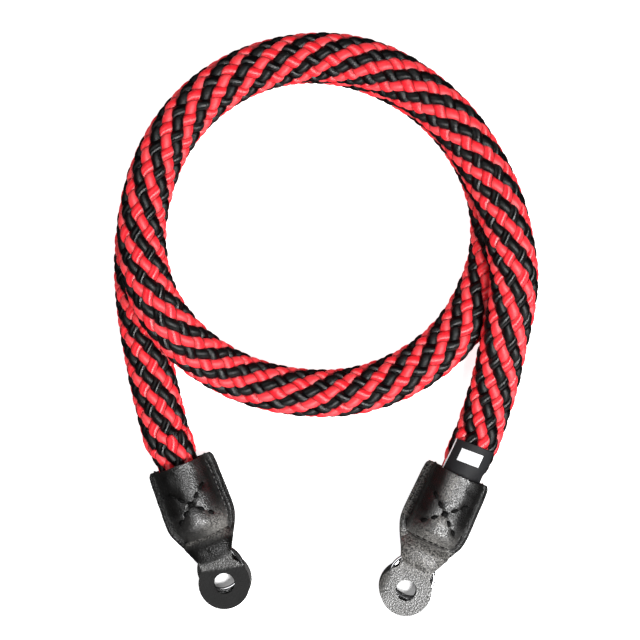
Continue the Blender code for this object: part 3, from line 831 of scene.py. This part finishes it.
def grained_leather(name, colour, gloss, grain_mix):
    """Black grained cowhide: fine pebbles, creases across the dome and a creased edge line."""
    hide, shader = new_finish(name)
    place = add_node(hide, "TexCoord", {}, "Object")
    flat = add_node(hide, "UVMap", {}, "UV", uv_map="leather_uv")
    pebbles = add_node(hide, "TexVoronoi", {"Vector": place, "Scale": 1700.0}, "Distance")
    stretch = add_node(hide, "Mapping", {"Vector": flat, "Scale": (0.55, 3.2, 1.0)}, "Vector")
    creases = add_node(hide, "TexNoise", {"Vector": stretch, "Scale": 1.0, "Detail": 4.0}, "Fac")
    blotches = add_node(hide, "TexNoise", {"Vector": place, "Scale": 260.0, "Detail": 5.0}, "Fac")
    flecks = add_node(hide, "TexNoise", {"Vector": place, "Scale": 1500.0, "Detail": 3.0}, "Fac")
    grain = add_node(hide, "Mix", {"Factor": grain_mix, "A": pebbles, "B": creases}, "Result")
    rim, shade_and_matt, pale_fleck_share = (map_parts(hide, name) for name in ("edge_uv", "tone_uv", "worn_uv"))

    # The line pressed along the edge, which ends at the neck
    past = ranged(hide, rim["Y"], 36.0, 40.0, 0, 1)
    from_edge = figure(hide, "ADD", figure(hide, "MULTIPLY", rim["X"], 0.2), past)
    pressed = colour_run(hide, from_edge, (0.16, (1, 1, 1)), (0.30, (1, 1, 1)), (0.22, (0, 0, 0)))
    border = colour_run(hide, from_edge, (0.15, (0.35,) * 3), (0.30, (1, 1, 1)), (0.235, (2.2,) * 3))
    line = {"Strength": 0.3, "Distance": 0.00030, "Height": pressed}
    edge_line = add_node(hide, "Bump", line, "Normal")
    face = {"Strength": 0.85, "Distance": 0.00034, "Height": grain, "Normal": edge_line}
    relief = add_node(hide, "Bump", face, "Normal")

    # Less gloss and painted shade (a darker colour) where the shade mask is high, less gloss and a suede grey
    # where the hide is matt, and pale grey flecks of painted light and wear
    wear = ranged(hide, blotches, 0.3, 0.75, gloss - 0.07, gloss + 0.10)
    dulled = figure(hide, "ADD", shade_and_matt["X"], shade_and_matt["Y"])
    tone = colour_run(hide, blotches, (0.35, [v * 0.5 for v in colour]), (0.7, colour))
    share = figure(hide, "MULTIPLY", ranged(hide, flecks, 0.40, 0.62, 0, 1), pale_fleck_share["X"])
    lit_and_worn = mixed(hide, share, tone, (0.30, 0.288, 0.268, 1))
    suede = mixed(hide, shade_and_matt["Y"], lit_and_worn, (0.017, 0.017, 0.017, 1))
    set_sockets(hide, shader, {
        "Base Color": mixed(hide, 1.0, suede, ranged(hide, shade_and_matt["X"], 0, 1, 1.0, 0.25), "MULTIPLY"),
        "Roughness": figure(hide, "MULTIPLY_ADD", shade_and_matt["Y"], 0.35, wear),
        "Specular IOR Level": figure(hide, "MULTIPLY", ranged(hide, dulled, 0, 1, 1.0, 0.08), border),
        "Coat Weight": ranged(hide, dulled, 0, 1, 0.35, 0.0),
        "Coat Roughness": 0.22,
        "Normal": relief,
        "Coat Normal": relief,
    })
    return hide


black_leather = grained_leather("black_leather_grain", (0.008, 0.0076, 0.0072), 0.40, 0.45)
tops = {}
for side in places:
    piece, tops[side] = front_sheet(side)
    piece.data.materials.append(black_leather)
    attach(piece, "root")
    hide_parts(side + "_front_leather")


# The stitching
# Thick waxed black thread, hand sewn through both leathers: a row down each flange, a seam across the foot of
# the dome and the cross on top of it. The thin flange thread is painted grey for its glints, and the thicker
# seam and cross thread is painted near black for shade.
# Stitches at least this thick get the thread that is painted near black as shade
SHADED_THREAD_FROM = 0.0008
STITCH_OVERLAP = 1.12
FLANGE_STITCH_LIFT = 0.00026
SEAM_STITCH_LIFT = 0.00030
# Each stitch's length, the gap after it and its thickness
FLANGE_STITCH = (0.0017, 0.0006, 0.00065)
SEAM_STITCH = (0.0017, 0.0007, 0.00085)
CROSS_STITCH = (0.0023, 0.0016, 0.00150)


def thread_finish(name, deep, bright, roughness, shine):
    """Waxed thread with its twist."""
    finish, shader = new_finish(name)
    twist = {"Vector": add_node(finish, "TexCoord", {}, "Object"), "Scale": 900.0}
    lay = add_node(finish, "TexWave", twist, "Fac", bands_direction="DIAGONAL")
    tone = colour_run(finish, lay, (0, deep), (1, bright))
    set_sockets(finish, shader, {"Base Color": tone, "Roughness": roughness, "Specular IOR Level": shine})
    return finish


# Painted highlight on the thin thread, grey for glints too small to show, and painted shade on the thick
# thread, near black
lit_thread = thread_finish("lit_thread", (0.016,) * 3, (0.085, 0.083, 0.080), 0.30, 0.5)
shaded_thread = thread_finish("shaded_thread", (0.0008,) * 3, (0.0030,) * 3, 0.62, 0.10)


def on_leather(top, x, t):
    """The point on the leather's face, from the five known ones nearest to it."""
    gap = np.hypot(top[:, 0] - x, top[:, 1] - t)
    near = np.argsort(gap)[:5]
    weight = 1 / (gap[near] + 0.00005)
    height = float((top[near, 2] * weight).sum() / weight.sum())
    return Vector((x, t, height))


def stitch_run(top, points, lift, kind):
    """Pairs of thread ends spaced along a polyline that is given in the leather's own plane."""
    points = np.array(points)
    along = np.concatenate([[0], np.cumsum(np.hypot(*np.diff(points, axis=0).T))])
    length, gap, wide = kind
    count = max(1, round((along[-1] + gap) / (length + gap)))
    pitch = (along[-1] + gap) / count
    pairs = []
    for i in range(count):
        ends = []
        for at in (i * pitch, (i + 1) * pitch - gap):
            x = np.interp(at, along, points[:, 0])
            t = np.interp(at, along, points[:, 1])
            ends.append(on_leather(top, x, t) + Vector((0, 0, lift)))
        pairs.append((*ends, wide))
    return pairs


def sew(side):
    """All the thread of one end: each stitch is a small ball drawn out from needle hole to hole."""
    top, seam_at = tops[side], END_LOOKS[side]["seam_at"]
    runs = []
    along, table = row_table(60)
    for hand in (-1, 1):
        edge = [
            (hand * (POCKET_WIDTH / 2 * row[0] - FLANGE_STITCH_IN), t)
            for t, row in zip(along, table)
            if 0.0016 < t < seam_at - 0.0012
        ]
        runs += stitch_run(top, edge, FLANGE_STITCH_LIFT, FLANGE_STITCH)
        arm = [(-hand * CROSS_REACH, CROSS_TOP), (hand * CROSS_REACH, CROSS_FOOT)]
        runs += stitch_run(top, arm, SEAM_STITCH_LIFT, CROSS_STITCH)
    seam = [(-SEAM_REACH, seam_at), (SEAM_REACH, seam_at)]
    runs += stitch_run(top, seam, SEAM_STITCH_LIFT, SEAM_STITCH)
    bpy.ops.object.select_all(action="DESELECT")
    bpy.ops.mesh.primitive_uv_sphere_add(segments=8, ring_count=6, radius=0.5)
    first = bpy.context.object
    bpy.ops.object.shade_smooth()
    copies = []
    for one, two, wide in runs:
        copy = first.copy()
        copy.data = first.data.copy()
        copy.data.materials.append(lit_thread if wide < SHADED_THREAD_FROM else shaded_thread)
        bpy.context.scene.collection.objects.link(copy)
        run = two - one
        turn = run.to_track_quat("Z", "Y").to_matrix().to_4x4()
        size = Matrix.Diagonal((wide, wide, run.length * STITCH_OVERLAP, 1))
        copy.data.transform(places[side] @ Matrix.Translation((one + two) / 2) @ turn @ size)
        copies.append(copy)
    bpy.data.objects.remove(first, do_unlink=True)
    bpy.ops.object.select_all(action="DESELECT")
    for copy in copies:
        copy.select_set(True)
    bpy.context.view_layer.objects.active = copies[0]
    bpy.ops.object.join()
    thread = bpy.context.object
    thread.name = side + "_stitching"
    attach(thread, "root")


for side in places:
    sew(side)


# The back leathers
# A flat piece of the same hide behind each dome, sewn to it and cut to its outline with raw
# edges. The keepers that hold the rings are folds of the same hide, hidden in the necks.
BACK_THICK = 0.0016
BACK_SHIFT_ACROSS = 0.0009
BACK_SHIFT_ALONG = -0.0009
BACK_ROUNDING = 0.00030
BACK_PROUD = 0.0002


def faces_outwards(merge=0):
    """Turns the active piece's faces outwards, once the points closer than merge are one."""
    bpy.ops.object.mode_set(mode="EDIT")
    bpy.ops.mesh.select_all(action="SELECT")
    if merge:
        bpy.ops.mesh.remove_doubles(threshold=merge)
    bpy.ops.mesh.normals_make_consistent(inside=False)
    bpy.ops.object.mode_set(mode="OBJECT")


def back_sheet(side):
    """A filled outline with rounded edges. Its disc lies a little outwards from the front's."""
    name = side + "_leather_back"
    outline = bpy.data.curves.new(name, "CURVE")
    outline.dimensions = "2D"
    outline.fill_mode = "BOTH"
    outline.extrude = BACK_THICK / 2 - BACK_ROUNDING
    outline.bevel_depth = BACK_ROUNDING
    outline.bevel_resolution = 1
    along, table = row_table(60)
    edge = [(POCKET_WIDTH / 2 * row[0] - BACK_ROUNDING + BACK_PROUD, t) for t, row in zip(along, table)]
    edge[0] = (edge[0][0] + BACK_PROUD, BACK_ROUNDING)
    edge = [point for i, point in enumerate(edge) if i == 0 or point[1] > BACK_ROUNDING * 1.5]
    across = -BACK_SHIFT_ACROSS if side == "left" else BACK_SHIFT_ACROSS
    centre = (across, END_LENGTH + BACK_SHIFT_ALONG)
    loop = list(edge)
    for i in range(61):
        a = math.radians(JOINT_HALF_DEG + (360 - 2 * JOINT_HALF_DEG) * i / 60)
        radius = DISC_D / 2 - BACK_ROUNDING
        loop.append((centre[0] + math.sin(a) * radius, centre[1] - math.cos(a) * radius))
    loop.extend((-x, t) for x, t in reversed(edge))
    hole = []
    for i in range(48):
        a = math.radians(i * 7.5)
        radius = HOLE_D / 2 + BACK_ROUNDING
        hole.append((math.sin(a) * radius, END_LENGTH + math.cos(a) * radius))
    for ring in (loop, hole):
        spline = outline.splines.new("POLY")
        spline.points.add(len(ring) - 1)
        for i, (x, y) in enumerate(ring):
            spline.points[i].co = (x, y, 0, 1)
        spline.use_cyclic_u = True
    piece = bpy.data.objects.new(name, outline)
    bpy.context.scene.collection.objects.link(piece)
    select_only(piece)
    bpy.ops.object.convert(target="MESH")
    piece = bpy.context.object
    faces_outwards(merge=0.00001)
    piece.data.transform(places[side] @ Matrix.Translation((0, 0, BACK_THICK / 2)))
    bpy.ops.object.shade_smooth_by_angle(angle=math.radians(50))
    return piece


raw_leather, raw_shader = new_finish("raw_back_leather")
raw_place = add_node(raw_leather, "TexCoord", {}, "Object")
raw_fibre = add_node(raw_leather, "TexNoise", {"Vector": raw_place, "Scale": 1500.0, "Detail": 6.0}, "Fac")
raw_relief = {"Strength": 0.4, "Distance": 0.0002, "Height": raw_fibre}
set_sockets(raw_leather, raw_shader, {
    "Base Color": colour_run(raw_leather, raw_fibre, (0, (0.004,) * 3), (1, (0.022, 0.020, 0.019))),
    "Normal": add_node(raw_leather, "Bump", raw_relief, "Normal"),
    "Roughness": 0.62,
})
for side in places:
    piece = back_sheet(side)
    piece.data.materials.append(raw_leather)
    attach(piece, "root")
    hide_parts(side + "_back_leather")
    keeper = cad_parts[side + "_ring_keeper"]
    keeper.data.materials.clear()
    keeper.data.materials.append(raw_leather)


# The split rings
# Polished steel strip wound twice, its edges rounded by tumbling. Each ring lies between the
# front and the back disc of its end, and runs through the keeper.
RING_D = 0.0187
RING_WIRE_WIDE = 0.0020
RING_WIRE_THICK = 0.0010
RING_COIL_GAP = 0.00018
RING_ALONG = 0.0446
RING_Z = 0.0028
RING_JOG_DEG = 26
RING_JOG_AT_DEG = 250
RING_STEPS = 300
WIRE_SIDES = 16
WIRE_SQUARENESS = 0.9
RING_ASIDE = {"left": -0.0006, "right": 0.0}


def wound_ring(side):
    """Flat wire that winds twice, with a jog where it climbs from the first turn to the second."""
    half_wide, half_thick = RING_WIRE_WIDE / 2, RING_WIRE_THICK / 2
    turns = 2 * math.pi * (np.arange(WIRE_SIDES) + 0.5) / WIRE_SIDES
    across = np.sign(np.cos(turns)) * np.abs(np.cos(turns)) ** WIRE_SQUARENESS * half_wide
    over = np.sign(np.sin(turns)) * np.abs(np.sin(turns)) ** WIRE_SQUARENESS * half_thick + half_thick
    first = RING_JOG_DEG / 2 + 2
    angle = np.linspace(first, 720 - first, RING_STEPS + 1)
    share = np.clip((angle - 360) / RING_JOG_DEG + 0.5, 0, 1)
    share = share * share * (3 - 2 * share)
    rise = (RING_WIRE_THICK + RING_COIL_GAP) * share
    around = np.radians(angle + RING_JOG_AT_DEG)
    radius = RING_D / 2 - half_wide + across
    x = np.cos(around)[:, None] * radius
    y = np.sin(around)[:, None] * radius + RING_ALONG
    points = np.stack([x, y, rise[:, None] + over + RING_Z], axis=-1).reshape(-1, 3)
    place = places[side] @ Matrix.Translation((RING_ASIDE[side], 0, 0))
    index = np.arange(len(points)).reshape(len(angle), WIRE_SIDES)
    faces = ring_faces(index)[:, [0, 3, 2, 1]].tolist() + [index[0].tolist(), index[-1][::-1].tolist()]
    ring = new_piece(side + "_wound_ring", [place @ Vector(point) for point in points], faces)
    select_only(ring)
    faces_outwards()
    bpy.ops.object.shade_smooth_by_angle(angle=math.radians(80))
    return ring


ring_steel, steel_shader = new_finish("tumbled_steel")
steel_place = add_node(ring_steel, "TexCoord", {}, "Object")
steel_marks = add_node(ring_steel, "TexNoise", {"Vector": steel_place, "Scale": 1200.0, "Detail": 4.0}, "Fac")
set_sockets(ring_steel, steel_shader, {
    "Base Color": (0.42, 0.42, 0.43, 1),
    "Metallic": 1.0,
    "Roughness": ranged(ring_steel, steel_marks, 0, 1, 0.10, 0.18),
})
for side in places:
    ring = wound_ring(side)
    ring.data.materials.append(ring_steel)
    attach(ring, "root")
    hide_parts(side + "_split_ring")
